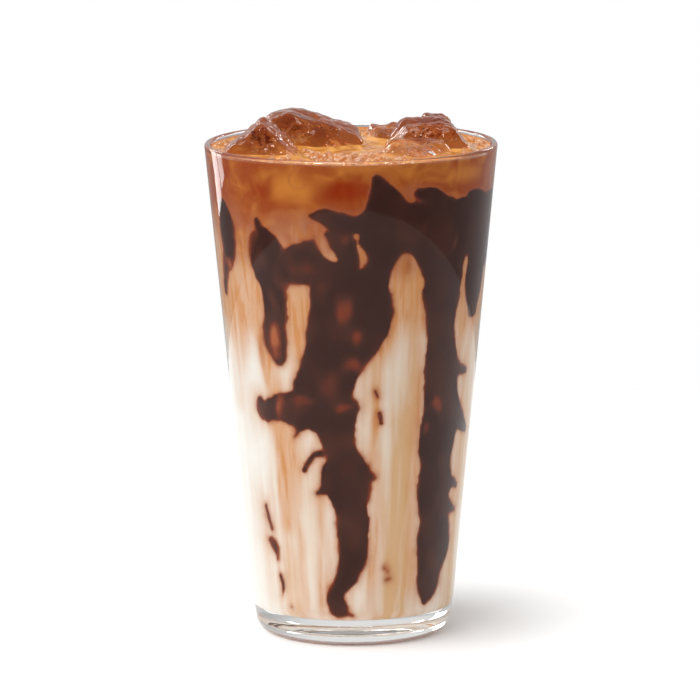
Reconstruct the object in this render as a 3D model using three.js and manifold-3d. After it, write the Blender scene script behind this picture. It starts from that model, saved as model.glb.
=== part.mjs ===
// An iced latte in a tall conical glass: milk below, coffee above, chocolate sauce run down the inside
// of the wall, and melting ice standing proud of the rim.
// Millimetres, +Z up, origin on the table under the middle of the glass. Angles go round the glass in
// degrees from the front (-Y), positive towards the right (+X).
import * as THREE from "three";
import { mergeVertices } from "three/addons/utils/BufferGeometryUtils.js";
import Module from "manifold-3d";

const wasm = await Module();
wasm.setup();

// Driving dimensions of the glass
const GLASS_HEIGHT = 149;
const RIM_RADIUS = 44; // outside, at the rim
const FOOT_RADIUS = 29.4; // outside wall carried straight down to the table
const HEEL_RADIUS = 5.3; // rounded edge under the foot
const RIM_WALL = 1.9;
const FOOT_WALL = 2.4;
const FLOOR_HEIGHT = 8.4; // clear glass under the drink
const FLOOR_CORNER = 4; // rounding where the inside wall meets the floor
const PUNT_RADIUS = 19; // shallow hollow under the foot
const PUNT_DEPTH = 1.1;

// Driving dimensions of what is in it
const DRINK_LEVEL = GLASS_HEIGHT - 2.1;
const MILK_LEVEL = 96; // where the milk gives way to the coffee
const SAUCE_THICKNESS = 1.2;
const GAP = 0.3; // kept between neighbouring solids

// Fineness of the facets
const SIDES = 48;
const ARC_STEPS = 4;
const RUN_END_TURN = 55; // where a run's round ends have a last station, in degrees round the end
const RUN_BAR_DEPTH = 0.2; // reach of a run's bar either side of the wall, as a share of its radius
const ICE_DETAIL = 3;

const TURN = Math.PI / 180;
const X_AXIS = new THREE.Vector3(1, 0, 0);

// Each run of sauce is a path down or along the wall: [angle, height, half width] at each station
const SHOULDER_RUNS = [
  [
    [-33, 116, 5], [-20, 118, 6.5], [-2, 121, 9], [16, 125, 10.5], [40, 125, 11.5], [62, 124, 12],
    [82, 124, 11],
  ],
  [[-17, 132.6, 1.2], [-11, 132.3, 2.8], [-3, 129.5, 4]],
  [[10.5, 143.6, 1.4], [13, 139, 4.2], [15, 131, 8]],
  [[28.5, 138.8, 1.8], [35, 137.4, 3], [43, 133.5, 3.4]],
  [[57, 136.6, 1.6], [63, 135.2, 2.8], [72, 132.5, 3.4], [82, 132, 3.6]],
];
const LEFT_TONGUE = [
  [-43, 130, 0.8], [-41.5, 126, 3], [-39.5, 120, 7], [-37, 110, 4.8], [-36.5, 100, 4.2], [-37.5, 95, 4.7],
  [-36, 89, 2.6],
];
const MIDDLE_TRUNK = [
  [-1, 117, 12], [-0.5, 108, 12.2], [-1, 100, 12], [-6, 93, 10], [-11, 87, 8.8], [-14, 80, 9],
];
const CROSS_BAND = [
  [-50, 74.8, 1.6], [-47.5, 71.5, 2.8], [-38, 73.5, 4], [-27, 73, 5.8], [-14, 74, 6.6], [-4, 74.5, 4.6],
];
const LOWER_TRUNK = [
  [-10, 72, 7], [-7, 64, 5.4], [-4.5, 58, 5.4], [-3, 52, 7.6], [-1, 45, 5.4], [0.3, 37, 4.6], [0, 29, 4.2],
  [-3.5, 23.5, 3.5], [-9, 18, 2.6], [-9.5, 14.5, 2.6], [-8, 12.4, 2.4],
];
const LOWER_BRANCHES = [
  [[-13, 60.5, 1.2], [-20, 59.6, 0.9], [-25.5, 54.8, 0.5]],
  [[-11, 50.5, 2.4], [-18.5, 48, 0.6]],
  [[3, 53.4, 2.6], [10.5, 53, 0.7]],
  [[-26, 68, 1.8], [-30, 64.8, 0.5]],
];
const RIGHT_COLUMN = [
  [43, 120, 9], [43.5, 110, 8], [44.5, 102, 6.4], [45, 95, 5.9], [46.5, 87, 6.9], [48, 79, 7],
  [49.5, 72, 8], [49, 63, 7.8], [48, 55, 6.8], [49, 46, 7], [49.5, 38, 6.2], [52.5, 30.5, 7.6],
  [50, 22.5, 5.6], [49, 17.5, 4.4], [46.5, 13.8, 1.8],
];
const RIGHT_SPURS = [
  [[56, 84, 2.6], [67, 82, 0.7]],
  [[60, 71, 3], [67, 66.5, 2.4], [75, 63.4, 0.9]],
  [[57, 49.5, 3], [69, 46.8, 0.8]],
  [[58, 41.5, 2.6], [69, 39.2, 0.7]],
];
const FAR_RIGHT_COLUMN = [[70, 122, 10], [69.5, 110, 6.8], [69, 102, 3.8]];
const LEFT_EDGE_RUN = [[-65, 131, 2.2], [-65, 126, 4.4], [-66, 120, 3.2], [-70, 113, 2.4], [-73, 106, 1.2]];

const FRONT_RUNS = [
  ...SHOULDER_RUNS, LEFT_TONGUE, MIDDLE_TRUNK, CROSS_BAND, LOWER_TRUNK, ...LOWER_BRANCHES, RIGHT_COLUMN,
  ...RIGHT_SPURS, FAR_RIGHT_COLUMN,
];
// The far side is run with the same sauce, so its runs are those of the front, turned and let down.
const BACK_RUNS = [
  turned(SHOULDER_RUNS[0], 155, -2),
  turned(RIGHT_COLUMN, 100, -1),
  turned(LOWER_TRUNK, 183, 24),
  turned(LEFT_TONGUE, -118, 0),
  turned(MIDDLE_TRUNK, 184, 3),
];

// Each lump of ice is a melted block: its middle, and the flat faces about it. A face is given by the way
// it looks, as [angle round the glass, angle above level], and its distance from the middle.
const ICE_LUMPS = [
  {
    name: "ice_left_front",
    middle: [-26, -9.5, 146],
    faces: [
      [-88, 51, 9.3], [78, 52, 9.2], [-10, 12, 10], [170, 10, 7.4], [120, 0, 9], [95, -15, 10],
      [-95, -20, 11], [0, -90, 12],
    ],
  },
  {
    name: "ice_left_tall",
    middle: [-10, 9, 146],
    faces: [
      [80, 71, 9], [-82, 73, 14.1], [20, 36, 10.2], [-32, 5, 10.5], [10, -10, 13], [180, 15, 11],
      [95, 22, 14.4], [95, -5, 14.4], [-92, 8, 17.4], [0, -90, 15],
    ],
  },
  {
    name: "ice_middle_small",
    middle: [11.8, 19.5, 143],
    faces: [
      [0, 80, 7.2], [-60, 30, 6.4], [80, 20, 5], [0, 10, 6], [180, 0, 7.5], [-110, -10, 7], [110, -10, 7],
      [0, -90, 10],
    ],
  },
  {
    name: "ice_right_main",
    middle: [23, -0.5, 145],
    faces: [
      [-5, 82, 10], [90, 43, 11.5], [-75, 35, 11], [0, 26, 8.2], [0, -5, 8.2], [180, 5, 8.4], [90, -20, 12],
      [-90, -10, 11.2], [0, -90, 14],
    ],
  },
  {
    name: "ice_right_back",
    middle: [27.8, 17.3, 147],
    faces: [
      [0, 85, 7], [60, 30, 5.8], [95, 28, 4.6], [-70, 20, 5.8], [-10, 10, 6], [170, 10, 7.5],
      [100, -20, 6.5], [-100, -20, 7], [0, -90, 12],
    ],
  },
  {
    name: "ice_right_front",
    middle: [20, -19, 143],
    faces: [
      [0, 75, 6.7], [60, 40, 7.5], [-50, 40, 7.4], [0, -8, 8], [180, 0, 8], [95, -8, 10], [-95, -8, 10],
      [0, -90, 11],
    ],
  },
];
const ICE_CRISPNESS = 7; // how sharp melting has left the edges between the faces: higher is sharper

const glassMaterial = new THREE.MeshStandardMaterial({
  color: 0xe8efec, roughness: 0.02, metalness: 0, transparent: true, opacity: 0.25,
});
const milkMaterial = new THREE.MeshStandardMaterial({ color: 0xe9ddcd, roughness: 0.45, metalness: 0 });
const coffeeMaterial = new THREE.MeshStandardMaterial({ color: 0xa86a3c, roughness: 0.3, metalness: 0 });
const sauceMaterial = new THREE.MeshStandardMaterial({ color: 0x3a2018, roughness: 0.25, metalness: 0 });
const iceMaterial = new THREE.MeshStandardMaterial({
  color: 0xd9e2e4, roughness: 0.06, metalness: 0, transparent: true, opacity: 0.45,
});

function turned(run, angle, lift) {
  return run.map(([a, height, halfWidth]) => [a + angle, height + lift, halfWidth]);
}

// The glass's outside and inside radii at a height
function outsideRadius(height) {
  return FOOT_RADIUS + ((RIM_RADIUS - FOOT_RADIUS) * height) / GLASS_HEIGHT;
}
function insideRadius(height) {
  return outsideRadius(height) - FOOT_WALL + ((FOOT_WALL - RIM_WALL) * height) / GLASS_HEIGHT;
}

// Points of a circular arc in a lathe profile, ends included
function arc(x, y, radius, from, to) {
  return Array.from({ length: ARC_STEPS + 1 }, (_, i) => {
    const a = (from + ((to - from) * i) / ARC_STEPS) * TURN;
    return new THREE.Vector2(x + radius * Math.cos(a), y + radius * Math.sin(a));
  });
}

// A three.js geometry as a solid that can be joined and cut. Collapsed triangles at a lathe's axis go.
function solidOf(geometry) {
  geometry.deleteAttribute("normal");
  geometry.deleteAttribute("uv");
  const merged = mergeVertices(geometry, 1e-4);
  const triangles = [];
  for (let i = 0; i < merged.index.count; i += 3) {
    const [a, b, c] = [0, 1, 2].map((k) => merged.index.getX(i + k));
    if (a !== b && b !== c && c !== a) triangles.push(a, b, c);
  }
  const make = (triVerts) => new wasm.Manifold(
    new wasm.Mesh({ numProp: 3, vertProperties: merged.attributes.position.array, triVerts }),
  );
  const solid = make(new Uint32Array(triangles));
  return solid.volume() > 0 ? solid : make(new Uint32Array(triangles.reverse()));
}

function meshOf(solid, name, material) {
  const { vertProperties, triVerts } = solid.getMesh();
  const geometry = new THREE.BufferGeometry()
    .setAttribute("position", new THREE.BufferAttribute(vertProperties, 3))
    .setIndex(new THREE.BufferAttribute(triVerts, 1));
  geometry.computeVertexNormals();
  const mesh = new THREE.Mesh(geometry, material.clone());
  mesh.name = name;
  return mesh;
}

// A profile of [radius, height] points turned about the upright axis
function lathe(profile) {
  return solidOf(new THREE.LatheGeometry(profile, SIDES).rotateX(Math.PI / 2));
}

const at = (radius, height) => new THREE.Vector2(radius, height);

function makeGlass() {
  const lip = RIM_WALL / 2;
  const lipHeight = GLASS_HEIGHT - lip;
  const corner = insideRadius(FLOOR_HEIGHT + FLOOR_CORNER) - FLOOR_CORNER;
  return lathe([
    at(0, PUNT_DEPTH),
    at(PUNT_RADIUS * 0.6, PUNT_DEPTH * 0.8),
    at(PUNT_RADIUS, 0),
    ...arc(FOOT_RADIUS - HEEL_RADIUS, HEEL_RADIUS, HEEL_RADIUS, -90, 0),
    ...arc(outsideRadius(lipHeight) - lip, lipHeight, lip, 0, 180),
    ...arc(corner, FLOOR_HEIGHT + FLOOR_CORNER, FLOOR_CORNER, 0, -90),
    at(0, FLOOR_HEIGHT),
  ]);
}

// The drink between two levels, up to the inside of the glass
function makeDrink(from, to) {
  const corner = insideRadius(FLOOR_HEIGHT + FLOOR_CORNER) - FLOOR_CORNER;
  const foot = from > FLOOR_HEIGHT + FLOOR_CORNER
    ? [at(insideRadius(from) - GAP, from)]
    : arc(corner, FLOOR_HEIGHT + FLOOR_CORNER, FLOOR_CORNER - GAP, -90, 0);
  return lathe([at(0, from), ...foot, at(insideRadius(to) - GAP, to), at(0, to)]);
}

// A run's stations, with round ends: [angle in radians, height, half width, heading]
function runStations(run, widen) {
  const last = run.length - 1;
  const stations = run.map(([angle, height, width], i) => {
    const [before, after] = [run[Math.max(i - 1, 0)], run[Math.min(i + 1, last)]];
    const heading = Math.atan2(after[1] - before[1], (after[0] - before[0]) * TURN * insideRadius(height));
    return [angle * TURN, height, width + widen, heading];
  });
  const roundEnd = ([angle, height, width, heading], way) => {
    const reach = way * width * Math.sin(RUN_END_TURN * TURN);
    const x = angle + (reach * Math.cos(heading)) / insideRadius(height);
    return [x, height + reach * Math.sin(heading), width * Math.cos(RUN_END_TURN * TURN), heading];
  };
  return [roundEnd(stations[0], -1), ...stations, roundEnd(stations[last], 1)];
}

// A bar bent along a run, deep enough to pass right through the wall
function runBar(run, widen) {
  const stations = runStations(run, widen);
  const bar = new THREE.BoxGeometry(2, 1, 2, 2, stations.length - 1, 1);
  const p = bar.attributes.position;
  for (let i = 0; i < p.count; i++) {
    const [angle, height, width, heading] = stations[Math.round((p.getY(i) + 0.5) * (stations.length - 1))];
    const across = width * p.getX(i);
    const x = angle + (across * Math.sin(heading)) / insideRadius(height);
    const z = height - across * Math.cos(heading);
    const radius = insideRadius(z) * (1 + RUN_BAR_DEPTH * p.getZ(i));
    p.setXYZ(i, radius * Math.sin(x), -radius * Math.cos(x), z);
  }
  return solidOf(bar);
}

// Everything along the runs that lies less than the given depth in from the glass
function alongWall(runs, widen, depth) {
  const [from, to] = [0, GLASS_HEIGHT * 1.1];
  const core = lathe([
    at(0, from), at(insideRadius(from) - depth, from), at(insideRadius(to) - depth, to), at(0, to),
  ]);
  return runs.map((run) => runBar(run, widen)).reduce((a, b) => a.add(b)).subtract(core);
}

// A coat of sauce on the inside of the wall, where the runs lie
function makeSauce(runs) {
  return alongWall(runs, 0, GAP + SAUCE_THICKNESS).intersect(makeDrink(FLOOR_HEIGHT + GAP, DRINK_LEVEL));
}

// A direction by its angle round the glass and its angle above level
function direction(round, above) {
  const way = new THREE.Vector3().setFromSphericalCoords(1, (90 - above) * TURN, round * TURN);
  return way.applyAxisAngle(X_AXIS, Math.PI / 2);
}

// A block of ice with the edges between its faces melted round, grown by the given amount
function makeIce({ middle, faces }, grow = 0) {
  const planes = faces.map(([round, above, distance]) => direction(round, above).divideScalar(distance));
  const block = new THREE.IcosahedronGeometry(1, ICE_DETAIL);
  const p = block.attributes.position;
  const way = new THREE.Vector3();
  for (let i = 0; i < p.count; i++) {
    way.fromBufferAttribute(p, i).normalize();
    const nearness = planes.reduce((sum, plane) => sum + Math.max(plane.dot(way), 0) ** ICE_CRISPNESS, 0);
    way.multiplyScalar(nearness ** (-1 / ICE_CRISPNESS) + grow);
    p.setXYZ(i, way.x, way.y, way.z);
  }
  return solidOf(block.translate(...middle));
}

const latte = new THREE.Group();
const pockets = alongWall([...FRONT_RUNS, ...BACK_RUNS, LEFT_EDGE_RUN], GAP, SAUCE_THICKNESS + 2 * GAP);
const milk = makeDrink(FLOOR_HEIGHT + GAP, MILK_LEVEL - GAP).subtract(pockets);
const coffee = ICE_LUMPS.map((lump) => makeIce(lump, GAP)).reduce(
  (drink, ice) => drink.subtract(ice),
  makeDrink(MILK_LEVEL, DRINK_LEVEL).subtract(pockets),
);

latte.add(meshOf(makeGlass(), "glass", glassMaterial));
latte.add(meshOf(milk, "milk", milkMaterial));
latte.add(meshOf(coffee, "coffee", coffeeMaterial));
latte.add(meshOf(makeSauce(FRONT_RUNS), "sauce_front", sauceMaterial));
latte.add(meshOf(makeSauce(BACK_RUNS), "sauce_back", sauceMaterial));
latte.add(meshOf(makeSauce([LEFT_EDGE_RUN]), "sauce_left", sauceMaterial));
for (const lump of ICE_LUMPS) latte.add(meshOf(makeIce(lump), lump.name, iceMaterial));

export default latte;
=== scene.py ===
"""An iced latte in its glass: the finished look of every piece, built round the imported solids.

Sizes are in millimetres in the same frame as the solids (+Z up, origin on the table under the middle of
the glass) and become metres when a mesh is made. Angles go round the glass in degrees from the front
(-Y), positive towards the right (+X).
"""

import logging
import math
from dataclasses import dataclass
from enum import Enum

import bmesh
import bpy
import numpy as np
from mathutils import Matrix, Vector, noise


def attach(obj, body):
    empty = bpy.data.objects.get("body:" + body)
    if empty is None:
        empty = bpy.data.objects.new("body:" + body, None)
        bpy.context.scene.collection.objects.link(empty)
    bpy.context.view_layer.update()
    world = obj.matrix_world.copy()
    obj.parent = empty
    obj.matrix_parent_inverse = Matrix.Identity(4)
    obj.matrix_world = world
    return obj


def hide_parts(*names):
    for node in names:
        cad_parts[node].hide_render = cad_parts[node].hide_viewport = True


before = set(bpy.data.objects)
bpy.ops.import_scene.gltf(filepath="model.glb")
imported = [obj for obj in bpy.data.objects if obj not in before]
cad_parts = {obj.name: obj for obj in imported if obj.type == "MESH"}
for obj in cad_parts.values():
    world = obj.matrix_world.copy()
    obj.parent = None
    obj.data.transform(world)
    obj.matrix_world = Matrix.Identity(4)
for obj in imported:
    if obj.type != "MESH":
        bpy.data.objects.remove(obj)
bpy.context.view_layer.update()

LOG = logging.getLogger("iced_latte")
BODY = "root"
MM = 0.001

Colour = tuple[float, float, float, float]
Corner = tuple[float, float]
Station = tuple[float, float, float]


def tone(red: int, green: int, blue: int) -> Colour:
    """A colour as it looks on a screen, 0 to 255, in the linear values that shaders take.

    Args:
        red: Red, 0 to 255.
        green: Green, 0 to 255.
        blue: Blue, 0 to 255.

    Returns:
        Linear red, green, blue and an alpha of 1.
    """
    shares = [channel / 255 for channel in (red, green, blue)]
    linear = [s / 12.92 if s <= 0.04045 else ((s + 0.055) / 1.055) ** 2.4 for s in shares]
    return (linear[0], linear[1], linear[2], 1.0)


def ease(low: float, high: float, value: np.ndarray) -> np.ndarray:
    """Rises smoothly from 0 at low to 1 at high.

    Args:
        low: Where the rise starts.
        high: Where it ends; below low for a fall.
        value: The values to ease.

    Returns:
        The eased share of each value.
    """
    share = np.clip((value - low) / (high - low), 0.0, 1.0)
    return share * share * (3.0 - 2.0 * share)


def turn_between(angle: np.ndarray, middle: float) -> np.ndarray:
    """The shorter way round from middle to each angle, in degrees."""
    return (angle - middle + 180.0) % 360.0 - 180.0


@dataclass(frozen=True)
class WallNoise:
    """Smooth noise on the unrolled wall that meets itself round the glass.

    Attributes:
        seed: Seed of the random lattice.
        cells_round: Lattice cells round the glass.
        cell_height: Height of a lattice cell.
    """

    seed: int
    cells_round: int
    cell_height: float

    def at(self, angle: np.ndarray, height: np.ndarray) -> np.ndarray:
        """Noise at points of the wall.

        Args:
            angle: Angles round the glass.
            height: Heights above the table.

        Returns:
            Values from -1 to 1.
        """
        rows = int(200 / self.cell_height) + 4
        lattice = np.random.default_rng(self.seed).uniform(-1.0, 1.0, (rows, self.cells_round))
        across = (angle % 360.0) / 360.0 * self.cells_round
        up = np.clip(height / self.cell_height + 1.0, 0.0, rows - 2.001)
        column, row = np.floor(across).astype(int), np.floor(up).astype(int)
        s, t = across - column, up - row
        s, t = s * s * (3 - 2 * s), t * t * (3 - 2 * t)
        left, right = column % self.cells_round, (column + 1) % self.cells_round
        low = lattice[row, left] * (1 - s) + lattice[row, right] * s
        high = lattice[row + 1, left] * (1 - s) + lattice[row + 1, right] * s
        return low * (1 - t) + high * t


@dataclass(frozen=True)
class Shape:
    """The glass's own form, which everything in it is fitted to.

    Attributes:
        height: Height to the rim.
        rim_radius: Outside radius at the rim.
        foot_radius: Outside wall carried straight down to the table.
        heel_radius: Rounding under the foot.
        rim_wall: Wall thickness at the rim.
        foot_wall: Wall thickness at the foot.
        floor: Thickness of clear glass under the drink.
        floor_corner: Rounding where the inside wall meets the floor.
        punt_radius: Radius of the shallow hollow under the foot.
        punt_depth: Depth of that hollow.
        drink_level: Height of the drink's surface.
        milk_level: Height where milk gives way to coffee.
    """

    height: float = 149.0
    rim_radius: float = 44.0
    foot_radius: float = 29.4
    heel_radius: float = 5.3
    rim_wall: float = 1.9
    foot_wall: float = 2.4
    floor: float = 8.4
    floor_corner: float = 4.0
    punt_radius: float = 19.0
    punt_depth: float = 1.1
    drink_level: float = 146.9
    milk_level: float = 96.0

    def outside(self, height: np.ndarray) -> np.ndarray:
        """Outside radius of the wall at each height."""
        return self.foot_radius + (self.rim_radius - self.foot_radius) * height / self.height

    def inside(self, height: np.ndarray) -> np.ndarray:
        """Inside radius of the wall at each height."""
        thickness = self.foot_wall + (self.rim_wall - self.foot_wall) * height / self.height
        return self.outside(height) - thickness

    def contents(self, height: np.ndarray) -> np.ndarray:
        """Radius of what fills the glass, the rounded corner over the floor included.

        Args:
            height: Heights above the table.

        Returns:
            The radius at each height.
        """
        corner_top = self.floor + self.floor_corner
        middle = self.inside(corner_top) - self.floor_corner
        drop = np.clip(corner_top - height, 0.0, self.floor_corner)
        rounded = middle + np.sqrt(np.maximum(self.floor_corner**2 - drop**2, 0.0))
        return np.where(height < corner_top, rounded, self.inside(height))


SHAPE = Shape()


def arc(x: float, y: float, radius: float, start: float, stop: float, steps: int) -> list[Corner]:
    """Points of a circular arc in a turned profile.

    Args:
        x: Radius at the arc's middle.
        y: Height of the arc's middle.
        radius: The arc's own radius.
        start: Angle of the first point, in degrees.
        stop: Angle of the last point, in degrees.
        steps: Steps from first to last.

    Returns:
        The points, ends included.
    """
    angles = np.radians(np.linspace(start, stop, steps + 1))
    return [(x + radius * math.cos(a), y + radius * math.sin(a)) for a in angles]


def mesh_piece(name: str, points: np.ndarray, faces: list[tuple[int, ...]]) -> bpy.types.Object:
    """A smooth-shaded mesh object from points in millimetres.

    Args:
        name: Name of the piece.
        points: One row of x, y, z for each vertex.
        faces: Vertex numbers of each face.

    Returns:
        The new object, linked to the scene.
    """
    mesh = bpy.data.meshes.new(name)
    mesh.from_pydata((np.asarray(points) * MM).tolist(), [], faces)
    mesh.polygons.foreach_set("use_smooth", np.ones(len(mesh.polygons), dtype=bool))
    mesh.update()
    piece = bpy.data.objects.new(name, mesh)
    bpy.context.scene.collection.objects.link(piece)
    return piece


def paint(piece: bpy.types.Object, name: str, values: np.ndarray) -> None:
    """Stores one number for each vertex, for the piece's material to read.

    Args:
        piece: The mesh object.
        name: Name of the attribute.
        values: One value for each vertex.
    """
    layer = piece.data.attributes.new(name, "FLOAT", "POINT")
    layer.data.foreach_set("value", np.ascontiguousarray(values, dtype=np.float32))


@dataclass
class Turned:
    """A profile turned about the upright axis, as rings of vertices with a single one on the axis.

    Attributes:
        profile: (radius, height) of each ring; radius 0 only at the ends.
        sides: Vertices in a ring.
    """

    profile: list[Corner]
    sides: int

    def rings(self) -> tuple[np.ndarray, np.ndarray, list[int]]:
        """Lays out the vertices.

        Returns:
            The vertices, the angle of each round the glass, and the first vertex of each ring.
        """
        turn = np.arange(self.sides) * 2 * math.pi / self.sides
        points, angles, starts = [], [], []
        for radius, height in self.profile:
            starts.append(len(points))
            ring = turn if radius > 0 else turn[:1]
            points += [(radius * math.sin(a), -radius * math.cos(a), height) for a in ring]
            angles += list(np.degrees(ring))
        return np.array(points), np.array(angles), starts

    def faces(self, starts: list[int], count: int) -> list[tuple[int, ...]]:
        """Faces between neighbouring rings, looking out for a profile that runs upwards outside.

        Args:
            starts: First vertex of each ring.
            count: Number of vertices in all.

        Returns:
            Vertex numbers of each face.
        """
        faces = []
        ends = starts[1:] + [count]
        rings = [range(start, end) for start, end in zip(starts, ends)]
        for low, high in zip(rings, rings[1:]):
            for i in range(self.sides):
                j = (i + 1) % self.sides
                if len(low) == 1:
                    faces.append((low[0], high[j], high[i]))
                elif len(high) == 1:
                    faces.append((low[i], low[j], high[0]))
                else:
                    faces.append((low[i], low[j], high[j], high[i]))
        return faces

    def build(self, name: str) -> tuple[bpy.types.Object, np.ndarray, np.ndarray]:
        """Makes the mesh object.

        Args:
            name: Name of the piece.

        Returns:
            The object, its vertices and the angle of each round the glass.
        """
        points, angles, starts = self.rings()
        return mesh_piece(name, points, self.faces(starts, len(points))), points, angles


@dataclass
class Nodes:
    """A material's node tree, with short ways to add to it.

    Attributes:
        tree: The node tree.
    """

    tree: bpy.types.NodeTree

    def add(self, kind: str, **settings: object) -> bpy.types.Node:
        """A new node with its properties set.

        Args:
            kind: The node's type name.
            settings: Properties of the node.

        Returns:
            The node.
        """
        node = self.tree.nodes.new(kind)
        for key, value in settings.items():
            setattr(node, key, value)
        return node

    def set(self, socket: bpy.types.NodeSocket, value: object) -> None:
        """Links a socket to another one, or sets it to a plain value.

        Args:
            socket: The socket to feed.
            value: The socket or the value that feeds it.
        """
        if isinstance(value, bpy.types.NodeSocket):
            self.tree.links.new(value, socket)
        else:
            socket.default_value = value

    def attribute(self, name: str) -> bpy.types.NodeSocket:
        """The number that a piece stores at each vertex under this name."""
        return self.add("ShaderNodeAttribute", attribute_name=name).outputs["Fac"]

    def height(self) -> bpy.types.NodeSocket:
        """Height above the table, in metres."""
        place = self.add("ShaderNodeSeparateXYZ")
        self.set(place.inputs[0], self.add("ShaderNodeTexCoord").outputs["Object"])
        return place.outputs[2]

    def math(
        self, operation: str, first: object, second: object = 0.5, third: object = 0.5,
    ) -> bpy.types.NodeSocket:
        """A sum on numbers.

        Args:
            operation: The math node's operation.
            first: First value or socket.
            second: Second value or socket.
            third: Third value or socket, where the operation takes one.

        Returns:
            The result's socket.
        """
        node = self.add("ShaderNodeMath", operation=operation)
        for socket, value in zip(node.inputs, (first, second, third)):
            self.set(socket, value)
        return node.outputs[0]

    def span(
        self, value: object, low: float, high: float, to_low: float = 0.0, to_high: float = 1.0,
    ) -> bpy.types.NodeSocket:
        """Eases a value from one range to another.

        Args:
            value: The value or socket.
            low: Start of its range.
            high: End of its range.
            to_low: Result at low.
            to_high: Result at high.

        Returns:
            The result's socket.
        """
        node = self.add("ShaderNodeMapRange", interpolation_type="SMOOTHSTEP")
        for socket, setting in zip(node.inputs, (value, low, high, to_low, to_high)):
            self.set(socket, setting)
        return node.outputs[0]

    def mix(self, share: object, first: object, second: object) -> bpy.types.NodeSocket:
        """Blends two colours.

        Args:
            share: How much of the second, 0 to 1.
            first: First colour or socket.
            second: Second colour or socket.

        Returns:
            The blended colour's socket.
        """
        node = self.add("ShaderNodeMix", data_type="RGBA")
        self.set(node.inputs[0], share)
        self.set(node.inputs[6], first)
        self.set(node.inputs[7], second)
        return node.outputs[2]

    def grain(
        self, scale: tuple[float, float, float], detail: float = 3.0, warp: float = 0.0,
    ) -> bpy.types.NodeSocket:
        """Noise in the object's own space.

        Args:
            scale: Cells in a metre along X, Y and Z.
            detail: Octaves of finer noise.
            warp: How much the noise bends itself.

        Returns:
            The noise's value, about 0.5 on average.
        """
        place = self.add("ShaderNodeTexCoord").outputs["Object"]
        mapping = self.add("ShaderNodeMapping")
        self.set(mapping.inputs["Vector"], place)
        self.set(mapping.inputs["Scale"], scale)
        texture = self.add("ShaderNodeTexNoise")
        self.set(texture.inputs["Vector"], mapping.outputs[0])
        self.set(texture.inputs["Scale"], 1.0)
        self.set(texture.inputs["Detail"], detail)
        self.set(texture.inputs["Distortion"], warp)
        return texture.outputs[0]

    def bump(self, height: bpy.types.NodeSocket, depth: float) -> bpy.types.NodeSocket:
        """Relief from a height.

        Args:
            height: The height's socket, 0 to 1.
            depth: Depth of the relief in millimetres.

        Returns:
            The normal's socket.
        """
        node = self.add("ShaderNodeBump")
        self.set(node.inputs["Height"], height)
        self.set(node.inputs["Distance"], depth * MM)
        self.set(node.inputs["Strength"], 1.0)
        return node.outputs[0]


def new_material(name: str) -> tuple[bpy.types.Material, Nodes, bpy.types.Node]:
    """A material with a Principled shader wired to its output.

    Args:
        name: The material's name.

    Returns:
        The material, its nodes and the shader.
    """
    material = bpy.data.materials.new(name)
    material.use_nodes = True
    nodes = Nodes(material.node_tree)
    shader = next(n for n in material.node_tree.nodes if n.type == "BSDF_PRINCIPLED")
    return material, nodes, shader


@dataclass(frozen=True)
class GlassFinish:
    """Clear polished glass with the faint waviness of a pressed tumbler.

    Attributes:
        tint: Colour that light takes on at each face.
        ior: Refractive index.
        shine: Strength of reflections where the drink is behind the wall.
        full_shine: Strength of reflections at the rim and in the base.
        wave_depth: Depth of the waviness.
    """

    tint: Colour = (0.985, 0.99, 0.985, 1.0)
    ior: float = 1.48
    shine: Colour = (0.3, 0.3, 0.3, 1.0)
    full_shine: Colour = (1.0, 1.0, 1.0, 1.0)
    wave_depth: float = 0.02

    def material(self) -> bpy.types.Material:
        """Makes the material.

        Returns:
            The material.
        """
        material, nodes, shader = new_material("clear_glass")
        shader.inputs["Base Color"].default_value = self.tint
        shader.inputs["Transmission Weight"].default_value = 1.0
        shader.inputs["IOR"].default_value = self.ior
        height = nodes.height()
        rim = nodes.span(height, (SHAPE.drink_level + 0.4) * MM, (SHAPE.height - 1.0) * MM)
        foot = nodes.span(height, SHAPE.floor * MM, (SHAPE.floor - 3.0) * MM)
        bare = nodes.math("MAXIMUM", rim, foot)
        nodes.set(shader.inputs["Specular Tint"], nodes.mix(bare, self.shine, self.full_shine))
        smudges = nodes.span(nodes.grain((60, 60, 25), 4.0), 0.55, 0.8, 0.0, 0.02)
        nodes.set(shader.inputs["Roughness"], smudges)
        nodes.set(shader.inputs["Normal"], nodes.bump(nodes.grain((45, 45, 18), 1.0), self.wave_depth))
        return material


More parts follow.
